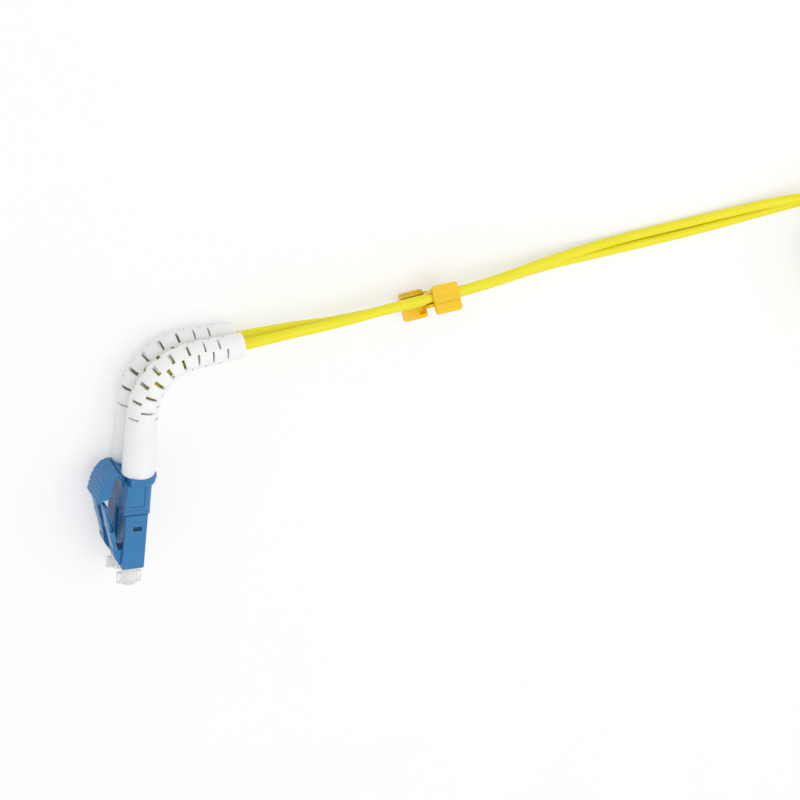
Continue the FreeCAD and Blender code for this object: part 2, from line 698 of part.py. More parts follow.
def jacket_points(side):
    """The cord's corners inside the boot, from the crimp to the boot's end."""
    straight, length = size("boot_straight"), boot_length()
    sign = -1 if side == "lower" else 1
    height = (size("clip_tall") + sign * size("pitch")) / 2
    rim = size("clip_long") / 2
    crimp_end = rim + size("crimp_body") + size("crimp_cone") + size("crimp_tail")
    points = [
        FreeCAD.Vector(0, rim + size("post_long"), height),
        FreeCAD.Vector(0, crimp_end + size("crimp_cone"), height),
    ]
    turn = math.radians(size("bend_turn"))
    corners = 3
    half = turn / corners / 2
    centre = FreeCAD.Vector(size("boot_shift") + size("bend_radius"), rim + straight, 0)
    lean, _ = cord_offset(straight, side)
    reach = (size("bend_radius") - lean) / math.cos(half)
    for k in range(corners):
        angle = half * (2 * k + 1)
        point = boot_cord_point(straight + size("bend_radius") * turn * (k + 0.5) / corners, side)
        point.x = centre.x - reach * math.cos(angle)
        point.y = centre.y + reach * math.sin(angle)
        points.append(point)
    return points + [boot_cord_point(length, side)]


def jacket_in_boot(side, level):
    tube(f"jacket_{side}", jacket_points(side), False)


def coil_entry(side):
    """The tangent point where the cord joins the outermost turn of its coil."""
    pack = size("coil_pack")
    outermost = size("coil_mean") / 2 + pack * (size("coil_columns") - 1) / 2
    bottom = size("tie_thick") + (0 if side == "lower" else pack * size("coil_rows"))
    route = LOWER_ROUTE if side == "lower" else UPPER_ROUTE
    centre = FreeCAD.Vector(size("coil_x"), size("coil_y"), 0)
    last = FreeCAD.Vector(route[-1][0], route[-1][1], 0)
    away = centre - last
    turned = math.atan2(away.y, away.x) + math.asin(outermost / away.Length)
    reach = math.sqrt(away.Length ** 2 - outermost ** 2)
    entry = last + FreeCAD.Vector(math.cos(turned), math.sin(turned), 0) * reach
    entry.z = bottom + pack / 2
    return entry


def cord(side, level):
    """The free cord: straight out of the boot, through the cord clip, down and along the floor."""
    route = LOWER_ROUTE if side == "lower" else UPPER_ROUTE
    before, exit_point = jacket_points(side)[-2:]
    way_out = (exit_point - before).normalize() * size("first_run")
    points = [exit_point, exit_point + way_out]
    points += [FreeCAD.Vector(*point) for point in route]
    points.append(coil_entry(side))
    length = tube(f"cord_{side}", points, True)
    turns = size("coil_columns") * size("coil_rows")
    print(f"cord_{side}: with {turns} turns {length + turns * math.pi * size('coil_mean'):.0f} long")


def coil(side, level):
    """The outer shape of the put-away cord: its turns beside and on each other."""
    half = "coil_columns * coil_pack / 2"
    bottom = "tie_thick" if side == "lower" else "tie_thick + coil_rows * coil_pack"
    outer = doc.addObject("Part::Cylinder", f"coil_outer_{side}")
    outer.setExpression("Radius", cell(f"coil_mean / 2 + {half}"))
    outer.setExpression("Height", cell("coil_rows * coil_pack"))
    inner = doc.addObject("Part::Cylinder", f"coil_inner_{side}")
    inner.setExpression("Radius", cell(f"coil_mean / 2 - {half}"))
    inner.setExpression("Height", cell("coil_rows * coil_pack"))
    ring = doc.addObject("Part::Cut", f"coil_{side}")
    ring.Base = outer
    ring.Tool = inner
    place(ring, "coil_x", "coil_y", bottom)
    subpart(ring, f"coil_{side}")


def coil_tie(name, sign):
    """A flat tie round the section of both coils."""
    body = new_body(name, "coil_x", "coil_y")
    half = "(coil_columns * coil_pack / 2 + 2 * fit_gap)"
    crown = f"coil_mean / 2 + {half}"
    inside = f"coil_mean / 2 - {half} - tie_thick"
    top = "2 * coil_rows * coil_pack + tie_thick + fit_gap"
    outer = rectangle(
        body, "XZ_Plane", (f"{sign} * ({inside} - tie_thick)", "0"),
        (f"{sign} * ({crown} + tie_thick)", f"{top} + tie_thick"),
    )
    base = pad(body, outer, "tie_wide", both_ways=True)
    dress(body, "Fillet", base, "tie_thick", lambda edge: runs_along(edge, 1))
    hole = rectangle(
        body, "XZ_Plane", (f"{sign} * ({inside})", "tie_thick"), (f"{sign} * ({crown})", top)
    )
    pocket(body, hole, "tie_wide * 2", both_ways=True)


TILT = "cclip_tilt * 1 deg"
CCLIP_REST = f"cclip_wing * sin({TILT}) + (cclip_depth / 2 + cclip_plate) * cos({TILT})"


def cord_clip():
    """A clip that keeps the cords stacked: half of it covers their back, the other half their front."""
    body = new_body("cord_clip", "cclip_x", "cclip_y", CCLIP_REST)
    half_depth = "cclip_depth / 2"
    outside = "cclip_channel / 2 + cclip_wall"
    for sign in ("", "-"):
        near = f"{sign}(cclip_channel / 2)"
        far = f"{sign}({outside})"
        wall = rectangle(body, "XY_Plane", ("-cclip_half", near), ("cclip_half", far))
        pad(body, wall, "cclip_depth + fit_gap", both_ways=True)
    plates = (
        ("-cclip_half", "-cclip_gap", f"-{half_depth} - cclip_plate"),
        ("cclip_gap", "cclip_half", half_depth),
    )
    for start, end, lift in plates:
        plate = rectangle(body, "XY_Plane", (start, "-cclip_wing"), (end, "cclip_wing"), lift)
        base = pad(body, plate, "cclip_plate")
    wing = size("cclip_wing")
    dress(body, "Fillet", base, "cclip_round",
          lambda edge: runs_along(edge, 2) and abs(abs(edge.Vertexes[0].Y) - wing) < 1e-6)
    slot = rectangle(
        body, "XY_Plane", ("-cclip_half / 2 - cclip_slot_long / 2", f"-({outside}) - cclip_slot_wide"),
        ("-cclip_half / 2 + cclip_slot_long / 2", f"-({outside})"),
    )
    pocket(body, slot, "cclip_depth * 2", both_ways=True)
    body.Placement.Rotation = FreeCAD.Rotation(size("cclip_yaw"), 0, -size("cclip_tilt"))


def dust_cap(side, level):
    """A soft cap that plugs the nose's mouth and covers the ferrule, with two wings to pull it by."""
    body = new_body(f"dust_cap_{side}", y=SEAM, z=level)
    front = "-nose_long - cap_proud"
    revolve(body, [
        ("0", front),
        ("cap_wide / 2", front),
        ("cap_wide / 2", "-nose_long - fit_gap"),
        ("cap_plug / 2", "-nose_long - fit_gap"),
        ("cap_plug / 2", "-nose_long + cap_plug_long"),
        ("0", "-nose_long + cap_plug_long"),
    ])
    wings = rectangle(
        body, "XY_Plane", ("-cap_wing / 2", front), ("cap_wing / 2", f"{front} + cap_wing_long")
    )
    pad(body, wings, "cap_wing_thick", both_ways=True)
    groove(body, [
        ("0", f"{front} + cap_end"),
        ("cap_bore / 2", f"{front} + cap_end"),
        ("cap_bore / 2", "-nose_long + cap_plug_long + fit_gap"),
        ("0", "-nose_long + cap_plug_long + fit_gap"),
    ])


# ---- the whole part ----

for maker in (plug_housing, latch_arm, backbone, crimp_sleeve, ferrule, ferrule_flange, ferrule_spring,
              boot, jacket_in_boot, cord, coil, dust_cap):
    for side, level in LEVELS.items():
        maker(side, level)
clip_base()
clip_cover()
trigger()
cord_clip()
coil_tie("coil_tie_near", "-1")
coil_tie("coil_tie_far", "1")
doc.recompute()

for thing in doc.Objects:
    if "Invalid" in thing.State or "Error" in thing.State:
        raise RuntimeError(f"{thing.Name} failed: {thing.State}")
for thing in subparts:
    if thing.Shape.isNull() or not thing.Shape.isValid():
        raise RuntimeError(f"{thing.Label} has no valid shape")
    if len(thing.Shape.Solids) != 1:
        raise RuntimeError(f"{thing.Label} has {len(thing.Shape.Solids)} solids")

os.makedirs("parts", exist_ok=True)
for thing in subparts:
    thing.Shape.exportStep(f"parts/{thing.Label}.step")
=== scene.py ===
"""Looks for a duplex LC fibre connector with bend boots, two cords and a cord clip."""

import json
import math

import bmesh
import bpy
from mathutils import Matrix, Quaternion, Vector


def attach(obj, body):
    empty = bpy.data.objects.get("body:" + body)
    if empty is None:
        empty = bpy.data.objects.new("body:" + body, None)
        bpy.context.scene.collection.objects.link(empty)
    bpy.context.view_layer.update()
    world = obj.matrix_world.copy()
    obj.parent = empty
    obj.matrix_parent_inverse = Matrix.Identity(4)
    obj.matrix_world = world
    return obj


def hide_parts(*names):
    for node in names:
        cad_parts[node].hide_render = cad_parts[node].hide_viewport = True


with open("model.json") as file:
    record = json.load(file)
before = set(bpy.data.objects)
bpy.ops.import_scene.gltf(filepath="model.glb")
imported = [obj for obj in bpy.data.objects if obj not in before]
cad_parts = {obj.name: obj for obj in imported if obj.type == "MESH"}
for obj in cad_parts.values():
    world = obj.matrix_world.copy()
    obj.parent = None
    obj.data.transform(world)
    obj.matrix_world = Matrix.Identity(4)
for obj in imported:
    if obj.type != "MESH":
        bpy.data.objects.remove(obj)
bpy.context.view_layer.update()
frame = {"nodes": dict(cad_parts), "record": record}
MM = 0.001


# ---- camera, floor and light ----

# Where the camera stands and the point of the floor that it looks at, in millimetres, and in degrees how
# wide it sees and how far it is turned about its line of sight.
CAMERA_PLACE, CAMERA_AIM = (-135.1, 207.1, 370.6), (59.1, 9.7, 0.0)
CAMERA_WIDE, CAMERA_TURN = 20.0, 136.7
# The strength of the world's light, and how much plain white the camera sees in the floor.
WORLD_LIGHT, FLOOR_WHITE = 0.75, 0.5
FLOOR_GAP = 0.00002


def camera():
    """The camera, which looks down on the plug and along its cords."""
    data = bpy.data.cameras.new("camera")
    data.angle = math.radians(CAMERA_WIDE)
    data.clip_start, data.clip_end = 0.01, 10
    made = bpy.data.objects.new("camera", data)
    bpy.context.scene.collection.objects.link(made)
    place, aim = Vector(CAMERA_PLACE) * MM, Vector(CAMERA_AIM) * MM
    turn = Quaternion((0, 0, 1), math.radians(CAMERA_TURN))
    made.location = place
    made.rotation_euler = ((place - aim).to_track_quat("Z", "Y") @ turn).to_euler()
    bpy.context.scene.camera = made


def soft_light(name, place, target, side, power):
    """A round area lamp that faces a point."""
    data = bpy.data.lights.new(name, "AREA")
    data.shape, data.size, data.energy = "DISK", side, power
    made = bpy.data.objects.new(name, data)
    bpy.context.scene.collection.objects.link(made)
    made.location = place
    made.rotation_euler = (Vector(place) - Vector(target)).to_track_quat("Z", "Y").to_euler()


def studio():
    """The floor, the lamp and a plain white world."""
    bpy.context.scene.view_settings.view_transform = "Standard"
    world = bpy.data.worlds.new("studio")
    bpy.context.scene.world = world
    world.use_nodes = True
    background = world.node_tree.nodes["Background"]
    background.inputs["Color"].default_value = (1.0, 1.0, 1.0, 1)
    strength = seen(world.node_tree, WORLD_LIGHT, 1.0)
    world.node_tree.links.new(strength, background.inputs["Strength"])
    soft_light("key", (0.18, 0.08, 0.80), (0.06, 0.02, 0.0), 0.8, 2.3)
    mesh = bmesh.new()
    bmesh.ops.create_grid(mesh, x_segments=1, y_segments=1, size=2.0)
    bmesh.ops.translate(mesh, verts=mesh.verts, vec=(0, 0, -FLOOR_GAP))
    floor = placed("floor", mesh, surface(
        "floor_paint", (0.96, 0.96, 0.96), (0.97, 0.97, 0.97), 40, 0.7, 0.8, 900, 1e-5,
    ))
    whiten(floor.active_material.node_tree, FLOOR_WHITE)


def whiten(tree, share):
    """Lets the camera see a share of plain white in a surface, which keeps the rest of its shadow."""
    white, blend = tree.nodes.new("ShaderNodeEmission"), tree.nodes.new("ShaderNodeMixShader")
    tree.links.new(seen(tree, 0.0, share), blend.inputs["Fac"])
    tree.links.new(tree.nodes["Principled BSDF"].outputs["BSDF"], blend.inputs[1])
    tree.links.new(white.outputs["Emission"], blend.inputs[2])
    tree.links.new(blend.outputs["Shader"], tree.nodes["Material Output"].inputs["Surface"])


def seen(tree, otherwise, value):
    """One value where the camera, a reflection or clear plastic looks, and another for other light."""
    path, pick = tree.nodes.new("ShaderNodeLightPath"), tree.nodes.new("ShaderNodeMapRange")
    pick.inputs["To Min"].default_value, pick.inputs["To Max"].default_value = otherwise, value
    total = path.outputs["Is Camera Ray"]
    for ray in ("Is Glossy Ray", "Is Transmission Ray"):
        add = tree.nodes.new("ShaderNodeMath")
        add.operation, add.use_clamp = "ADD", True
        tree.links.new(total, add.inputs[0])
        tree.links.new(path.outputs[ray], add.inputs[1])
        total = add.outputs["Value"]
    tree.links.new(total, pick.inputs["Value"])
    return pick.outputs["Result"]


# ---- materials ----

def node_group(name, inputs, outputs):
    """An empty group, with its input and output nodes."""
    group = bpy.data.node_groups.new(name, "ShaderNodeTree")
    for title, kind in inputs:
        group.interface.new_socket(title, in_out="INPUT", socket_type=kind)
    for title, kind in outputs:
        group.interface.new_socket(title, in_out="OUTPUT", socket_type=kind)
    return group, group.nodes.new("NodeGroupInput"), group.nodes.new("NodeGroupOutput")


def surface_group():
    """Colour and roughness that drift over a piece in soft patches, with a fine relief."""
    group, given, result = node_group(
        "drifting_surface",
        (("First Color", "NodeSocketColor"), ("Second Color", "NodeSocketColor"),
         ("Patches", "NodeSocketFloat"), ("Smooth", "NodeSocketFloat"), ("Rough", "NodeSocketFloat"),
         ("Grain", "NodeSocketFloat"), ("Depth", "NodeSocketFloat")),
        (("Color", "NodeSocketColor"), ("Roughness", "NodeSocketFloat"), ("Normal", "NodeSocketVector")),
    )
    nodes, link = group.nodes, group.links.new
    place = nodes.new("ShaderNodeTexCoord")
    patches, grain = nodes.new("ShaderNodeTexNoise"), nodes.new("ShaderNodeTexNoise")
    for texture, scale, detail in ((patches, "Patches", 3.0), (grain, "Grain", 6.0)):
        texture.inputs["Detail"].default_value = detail
        link(place.outputs["Object"], texture.inputs["Vector"])
        link(given.outputs[scale], texture.inputs["Scale"])
    share, gloss = nodes.new("ShaderNodeMapRange"), nodes.new("ShaderNodeMapRange")
    for spread in (share, gloss):
        spread.inputs["From Min"].default_value = 0.3
        spread.inputs["From Max"].default_value = 0.7
        link(patches.outputs["Fac"], spread.inputs["Value"])
    link(given.outputs["Smooth"], gloss.inputs["To Min"])
    link(given.outputs["Rough"], gloss.inputs["To Max"])
    blend = nodes.new("ShaderNodeMix")
    blend.data_type = "RGBA"
    link(share.outputs["Result"], blend.inputs["Factor"])
    link(given.outputs["First Color"], blend.inputs["A"])
    link(given.outputs["Second Color"], blend.inputs["B"])
    relief = nodes.new("ShaderNodeBump")
    link(grain.outputs["Fac"], relief.inputs["Height"])
    link(given.outputs["Depth"], relief.inputs["Distance"])
    link(blend.outputs["Result"], result.inputs["Color"])
    link(gloss.outputs["Result"], result.inputs["Roughness"])
    link(relief.outputs["Normal"], result.inputs["Normal"])
    return group


def weave_group():
    """The height of a plain weave that runs round a strap and across it, from 0 to 1."""
    group, given, result = node_group(
        "strap_weave", (("Threads", "NodeSocketFloat"),), (("Height", "NodeSocketFloat"),)
    )
    nodes, link = group.nodes, group.links.new
    place, split = nodes.new("ShaderNodeTexCoord"), nodes.new("ShaderNodeSeparateXYZ")
    link(place.outputs["Object"], split.inputs["Vector"])

    def step(operation, first, second=None):
        made = nodes.new("ShaderNodeMath")
        made.operation = operation
        for socket, value in zip(made.inputs, (first, second)):
            if isinstance(value, float):
                socket.default_value = value
            elif value is not None:
                link(value, socket)
        return made.outputs["Value"]

    threads = given.outputs["Threads"]
    along = step("MULTIPLY", step("ADD", split.outputs["X"], split.outputs["Z"]), threads)
    across = step("MULTIPLY", split.outputs["Y"], threads)
    crossing = step("MULTIPLY", step("SINE", along), step("SINE", across))
    link(step("ADD", step("MULTIPLY", crossing, 0.5), 0.5), result.inputs["Height"])
    return group


def surface(name, first, second, patches, smooth, rough, grain, depth, **sockets):
    """A material whose colour and roughness drift between two values, with a fine grain in relief."""
    made = bpy.data.materials.new(name)
    made.use_nodes = True
    shader = made.node_tree.nodes["Principled BSDF"]
    skin = made.node_tree.nodes.new("ShaderNodeGroup")
    skin.node_tree = groups["surface"]
    values = ((*first, 1), (*second, 1), patches, smooth, rough, grain, depth)
    for socket, value in zip(skin.inputs, values):
        socket.default_value = value
    for output, socket in (("Color", "Base Color"), ("Roughness", "Roughness"), ("Normal", "Normal")):
        made.node_tree.links.new(skin.outputs[output], shader.inputs[socket])
    for socket, value in sockets.items():
        shader.inputs[socket.replace("_", " ")].default_value = value
    return made


def woven(name, threads, depth, *arguments, **sockets):
    """A surface whose relief is a weave."""
    made = surface(name, *arguments, **sockets)
    tree = made.node_tree
    weave, relief = tree.nodes.new("ShaderNodeGroup"), tree.nodes.new("ShaderNodeBump")
    weave.node_tree = groups["weave"]
    weave.inputs["Threads"].default_value = threads
    relief.inputs["Distance"].default_value = depth
    tree.links.new(weave.outputs["Height"], relief.inputs["Height"])
    tree.links.new(relief.outputs["Normal"], tree.nodes["Principled BSDF"].inputs["Normal"])
    return made


def materials():
    """A finish for each material slot, and a darker copy of the blue for the inner pieces, painted shade
    that makes the window in the nose look dark.
    """
    return {
        "blue_plastic": surface(
            "blue_plastic", (0.030, 0.180, 0.405), (0.036, 0.200, 0.440), 300, 0.22, 0.32, 2600, 2e-6,
            Subsurface_Weight=0.05, Subsurface_Radius=(0.3, 0.5, 1.0), Subsurface_Scale=0.0004,
            Specular_IOR_Level=0.35,
        ),
        # A darker copy of the blue plastic: painted shade for the inner pieces seen through the nose's
        # window.
        "painted_shade_blue": surface(
            "painted_shade_blue", (0.008, 0.045, 0.120), (0.010, 0.055, 0.140), 300, 0.40, 0.55, 2600, 2e-6,
            Specular_IOR_Level=0.2,
        ),
        "white_boot": surface(
            "white_boot", (0.90, 0.90, 0.89), (0.93, 0.93, 0.92), 220, 0.36, 0.48, 3500, 3e-6,
            Subsurface_Weight=0.5, Subsurface_Radius=(1.0, 0.97, 0.90), Subsurface_Scale=0.0010,
            Specular_IOR_Level=0.35,
        ),
        "yellow_jacket": surface(
            "yellow_jacket", (0.84, 0.76, 0.012), (0.88, 0.80, 0.020), 150, 0.32, 0.44, 1800, 6e-6,
            Subsurface_Weight=0.10, Subsurface_Radius=(1.0, 0.7, 0.1), Subsurface_Scale=0.0006,
            Specular_IOR_Level=0.35,
        ),
        "amber_plastic": surface(
            "amber_plastic", (0.88, 0.56, 0.010), (0.92, 0.61, 0.016), 200, 0.22, 0.34, 2400, 3e-6,
            Subsurface_Weight=0.50, Subsurface_Radius=(1.0, 0.6, 0.1), Subsurface_Scale=0.0010,
            Specular_IOR_Level=0.35,
        ),
        "clear_cap": surface(
            "clear_cap", (0.95, 0.96, 0.96), (0.98, 0.98, 0.98), 300, 0.30, 0.42, 1500, 3e-6,
            Transmission_Weight=0.55, IOR=1.25,
        ),
        "white_ceramic": surface(
            "white_ceramic", (0.86, 0.85, 0.82), (0.90, 0.89, 0.86), 400, 0.08, 0.16, 6000, 5e-7,
            Subsurface_Weight=0.2, Subsurface_Radius=(1.0, 0.8, 0.6), Subsurface_Scale=0.0004,
        ),
        "flange_metal": surface(
            "flange_metal", (0.62, 0.62, 0.60), (0.70, 0.70, 0.68), 500, 0.25, 0.38, 5000, 2e-6,
            Metallic=1.0,
        ),
        "spring_steel": surface(
            "spring_steel", (0.50, 0.50, 0.51), (0.60, 0.60, 0.61), 600, 0.20, 0.32, 5000, 1e-6,
            Metallic=1.0,
        ),
        "crimp_metal": surface(
            "crimp_metal", (0.55, 0.47, 0.30), (0.62, 0.54, 0.36), 500, 0.28, 0.42, 4000, 3e-6,
            Metallic=1.0,
        ),
        "tie_fabric": woven(
            "tie_fabric", 9000.0, 5e-5,
            (0.020, 0.021, 0.023), (0.040, 0.041, 0.044), 900, 0.75, 0.95, 5200, 6e-5,
            Sheen_Weight=0.5, Sheen_Roughness=0.5,
        ),
    }


# ---- steps that meshes share ----

def rounded(mesh, width, sharp, segments=2):
    """Rounds the edges whose faces meet at more than an angle."""
    edges = [edge for edge in mesh.edges
             if len(edge.link_faces) == 2 and edge.calc_face_angle(0) > math.radians(sharp)]
    bmesh.ops.bevel(
        mesh, geom=edges, offset=width, segments=segments, profile=0.5, affect="EDGES", material=-1,
        clamp_overlap=True
    )


def placed(name, mesh, material):
    """An object of a finished mesh, smooth but for its sharp edges."""
    data = bpy.data.meshes.new(name)
    mesh.to_mesh(data)
    mesh.free()
    data.materials.append(material)
    made = bpy.data.objects.new(name, data)
    bpy.context.scene.collection.objects.link(made)
    for face in data.polygons:
        face.use_smooth = True
    data.set_sharp_from_angle(angle=math.radians(40))
    weighted = made.modifiers.new("weighted", "WEIGHTED_NORMAL")
    weighted.keep_sharp = True
    return made


# ---- cords ----

CORD_RADIUS = 1.0
# The straight start of each cord behind its boot, and the room that a turn of the coil takes.
FIRST_RUN, PACK = 9.5, 2.05
COIL_X, COIL_Y, COIL_MEAN = 168.2, 39.6, 22.0
TIE_THICK = 0.4
# The height of each plug's middle.
LEVEL = {"lower": 3.1, "upper": 9.35}
# Each cord's points from the boot's end to its coil, in millimetres.
ROUTE = {
    "lower": [
        (41.0, 30.35, 3.75), (53.7, 32.38, 3.76), (71.0, 35.37, 3.76), (86.0, 38.3, 1.6),
        (102.0, 40.6, 1.0), (123.0, 44.2, 1.0), (146.0, 49.1, 1.0),
    ],
    "upper": [
        (41.0, 30.95, 5.8), (53.7, 33.64, 5.44), (71.0, 36.63, 5.44), (86.0, 39.85, 3.1),
        (102.0, 42.9, 1.2), (123.0, 46.5, 1.0), (144.0, 50.95, 2.4), (154.5, 53.2, 7.6),
    ],
}
PER_TURN = 12
# How far round each move of the winding starts and ends, in degrees, and what it changes: the column
# counts turns inwards from the outermost, the row counts them upwards.
MOVES = (
    (300, 360, "column", 1), (660, 720, "column", 1), (1020, 1080, "column", 1),
    (1350, 1425, "row", 1),
    (1650, 1710, "column", -1), (2010, 2070, "column", -1), (2370, 2430, "column", -1),
    (2700, 2775, "row", 1),
    (3000, 3060, "column", 1), (3360, 3420, "column", 1), (3720, 3780, "column", 1),
)
WINDING = 4080


def smooth_step(low, high, value):
    """0 below a span, 1 above it and a smooth rise between."""
    share = min(max((value - low) / (high - low), 0), 1)
    return share * share * (3 - 2 * share)


def coil_points(last, bottom):
    """Points of a neat coil that a cord joins along a tangent, from the last point of its route."""
    outermost = COIL_MEAN / 2 + 1.5 * PACK
    away_x, away_y = COIL_X - last[0], COIL_Y - last[1]
    far = math.hypot(away_x, away_y)
    turned = math.atan2(away_y, away_x) + math.asin(outermost / far)
    reach = math.sqrt(far ** 2 - outermost ** 2)
    points = [(last[0] + math.cos(turned) * reach, last[1] + math.sin(turned) * reach, bottom)]
    step = 360 / PER_TURN
    around = step / 2
    while around <= WINDING:
        cell = {"column": 0.0, "row": 0.0}
        for start, end, what, by in MOVES:
            cell[what] += by * smooth_step(start, end, around)
        radius = (outermost - cell["column"] * PACK) / math.cos(math.radians(step / 2))
        angle = turned + math.radians(90 - around)
        points.append((
            COIL_X + radius * math.cos(angle), COIL_Y + radius * math.sin(angle),
            bottom + cell["row"] * PACK,
        ))
        around += step
    return points


def spline(name, points, radius, material):
    """A round cord along one smooth line, whose control points are given in millimetres."""
    data = bpy.data.curves.new(name, "CURVE")
    data.dimensions = "3D"
    data.bevel_depth = radius * MM
    data.bevel_resolution = 6
    data.use_fill_caps = True
    line = data.splines.new("NURBS")
    line.points.add(len(points) - 1)
    for point, (x, y, z) in zip(line.points, points):
        point.co = (x * MM, y * MM, z * MM, 1)
    line.order_u = 3
    line.use_endpoint_u = True
    line.resolution_u = 8
    data.materials.append(material)
    made = bpy.data.objects.new(name, data)
    bpy.context.scene.collection.objects.link(made)
    return made


# ---- boots ----

# Where the clip's rim ends, and the boot's shift, straight part, bend and tail behind it.
RIM = 4.1
BOOT_SHIFT, STRAIGHT, BEND, TURN, TAIL = 0.3, 12.7, 11.0, math.radians(84.5), 9.5
BOOT_LONG = STRAIGHT + BEND * TURN + TAIL
DROP = {"lower": 0.5, "upper": 1.5}
BASE_HALF, NECK_HALF, END_HALF = 3.2, 3.0, 2.45
BASE_TALL, END_TALL = 3.05, 2.5
# Where the jacket starts and has its second point, behind the rim.
JACKET_START, JACKET_NEXT = 3.8, 6.9
# How far the cord lies off the boot's middle line at its end and in the bend, and rises towards the other.
LEAN, BEND_LEAN, CORD_RISE = 0.45, 0.75, 0.55
BOOT_WALL, BOOT_EDGE = 0.7, 0.06
# Lengths that divide the plain part of the sleeve, and the plain band at its end.
PLAIN_STOPS, END_BAND = (0.0, 3.0, 6.0, 9.0, 11.4), 1.2
FIRST_SLIT, SLIT_STEP, RINGS = 12.2, 1.5, 16
SLIT_TURN, SLIT_SHUT, SLIT_OPEN = 27.3, 0.35, 0.65
AROUND = 66


def boot_station(along, side):
    """Centre, heading and half sizes of the boot, at a length behind the clip's rim."""
    bent = min(max(along - STRAIGHT, 0), BEND * TURN)
    past = max(along - STRAIGHT - BEND * TURN, 0)
    angle = bent / BEND
    heading = Vector((math.sin(angle), math.cos(angle), 0))
    centre = Vector((BOOT_SHIFT, RIM + min(along, STRAIGHT), 0))
    centre += Vector((BEND * (1 - math.cos(angle)), BEND * math.sin(angle), 0)) + heading * past
    share = max(along - STRAIGHT, 0) / (BOOT_LONG - STRAIGHT)
    centre.z = LEVEL[side] - DROP[side] * share ** 2
    if along < STRAIGHT:
        half = BASE_HALF + (NECK_HALF - BASE_HALF) * along / STRAIGHT
    else:
        half = NECK_HALF + (END_HALF - NECK_HALF) * share
    tall = BASE_TALL + (END_TALL - BASE_TALL) * along / BOOT_LONG
    return centre, heading, half, tall


def cord_rise(along, side):
    """How far a cord has moved towards the other one inside its boot."""
    rise = CORD_RISE * (along - STRAIGHT) / (BOOT_LONG - STRAIGHT)
    return rise if side == "lower" else -rise


def cord_in_boot(side):
    """The cord's points inside the boot, from the crimp to the boot's end."""
    points = [(0, RIM + JACKET_START, LEVEL[side]), (0, RIM + JACKET_NEXT, LEVEL[side])]
    half = TURN / 6
    reach = (BEND - BEND_LEAN) / math.cos(half)
    for k in range(3):
        angle = half * (2 * k + 1)
        along = STRAIGHT + BEND * TURN * (k + 0.5) / 3
        z = boot_station(along, side)[0].z
        z += cord_rise(along, side)
        points.append((
            BOOT_SHIFT + BEND - reach * math.cos(angle), RIM + STRAIGHT + reach * math.sin(angle), z
        ))
    centre, heading, _, _ = boot_station(BOOT_LONG, side)
    points.append((
        centre.x + heading.y * LEAN, centre.y - heading.x * LEAN, centre.z + cord_rise(BOOT_LONG, side)
    ))
    return points


def slit_rings():
    """Where each ring of slits lies along the boot, how wide it opens and how far it is turned."""
    for ring in range(RINGS):
        along = FIRST_SLIT + SLIT_STEP * ring
        flexed = min(max((along - STRAIGHT) / (BEND * TURN), 0), 1)
        wide = SLIT_SHUT + (SLIT_OPEN - SLIT_SHUT) * math.sin(math.pi * flexed)
        yield along, wide, 60 * ((ring + 1) % 2)


def boot_sleeve(side):
    """A sleeve that is made straight, slit in rings of three that are turned in turn, and then flexed."""
    rings = list(slit_rings())
    stops = list(PLAIN_STOPS)
    for along, wide, _ in rings:
        stops += [along - wide / 2, along + wide / 2]
    stops += [BOOT_LONG - END_BAND, BOOT_LONG]
    mesh = bmesh.new()
    bmesh.ops.create_circle(mesh, segments=AROUND, radius=1.0)
    rim = mesh.edges[:]
    for before, after in zip(stops, stops[1:]):
        grown = bmesh.ops.extrude_edge_only(mesh, edges=rim)["geom"]
        corners = {part for part in grown if isinstance(part, bmesh.types.BMVert)}
        rim = [part for part in grown
               if isinstance(part, bmesh.types.BMEdge) and set(part.verts) <= corners]
        bmesh.ops.translate(mesh, verts=list(corners), vec=(0, 0, after - before))
    cut = []
    for face in mesh.faces:
        centre = face.calc_center_median()
        turned = math.degrees(math.atan2(centre.x, centre.y))
        for along, wide, start in rings:
            if abs(centre.z - along) < wide / 2 and abs((turned - start + 60) % 120 - 60) < SLIT_TURN:
                cut.append(face)
    bmesh.ops.delete(mesh, geom=cut, context="FACES")
    for corner in mesh.verts:
        _, _, half, tall = boot_station(corner.co.z, side)
        corner.co.x *= half
        corner.co.y *= tall
    bmesh.ops.recalc_face_normals(mesh, faces=mesh.faces)
    bmesh.ops.solidify(mesh, geom=mesh.faces[:], thickness=BOOT_WALL)
    rounded(mesh, BOOT_EDGE, 50)
    for corner in mesh.verts:
        centre, heading, _, _ = boot_station(min(max(corner.co.z, 0), BOOT_LONG), side)
        outward = Vector((-heading.y, heading.x, 0))
        corner.co = centre + outward * corner.co.x + Vector((0, 0, corner.co.y))
    bmesh.ops.scale(mesh, verts=mesh.verts, vec=(MM, MM, MM))
    bmesh.ops.recalc_face_normals(mesh, faces=mesh.faces)
    return mesh


# ---- moulded and turned pieces ----

# The turn in degrees from which an edge of a copied node is rounded.
SHARP = 25
# The clip's rim: where it leaves the body, how far it reaches out and slopes, and where its front ends.
RIM_ROOT, RIM_REACH, RIM_SLOPE, RIM_FRONT = 2.55, 1.15, 1.0, 3.0
# The side of the cover, where the rim's ears are cut off.
COVER_FACE = 2.0
# The cord clip before it is turned, in millimetres: x runs along the cords and z through its two plates.
CLIP_HALF, CLIP_WING, CLIP_SEAM = 5.3, 2.9, -0.2
PLATE_IN, PLATE_OUT, PLATE_ROUND = 2.0, 3.1, 0.7
# The channel's two walls, how deep they are, and where they run right through and where at one side only.
UPPER_WALL, LOWER_WALL, WALL_DEEP = (1.8, 2.3), (-1.2, -0.5), 2.1
BRIDGE, BACK_LEDGE, FRONT_LEDGE = (-1.0, 0.8), -0.7, 0.5
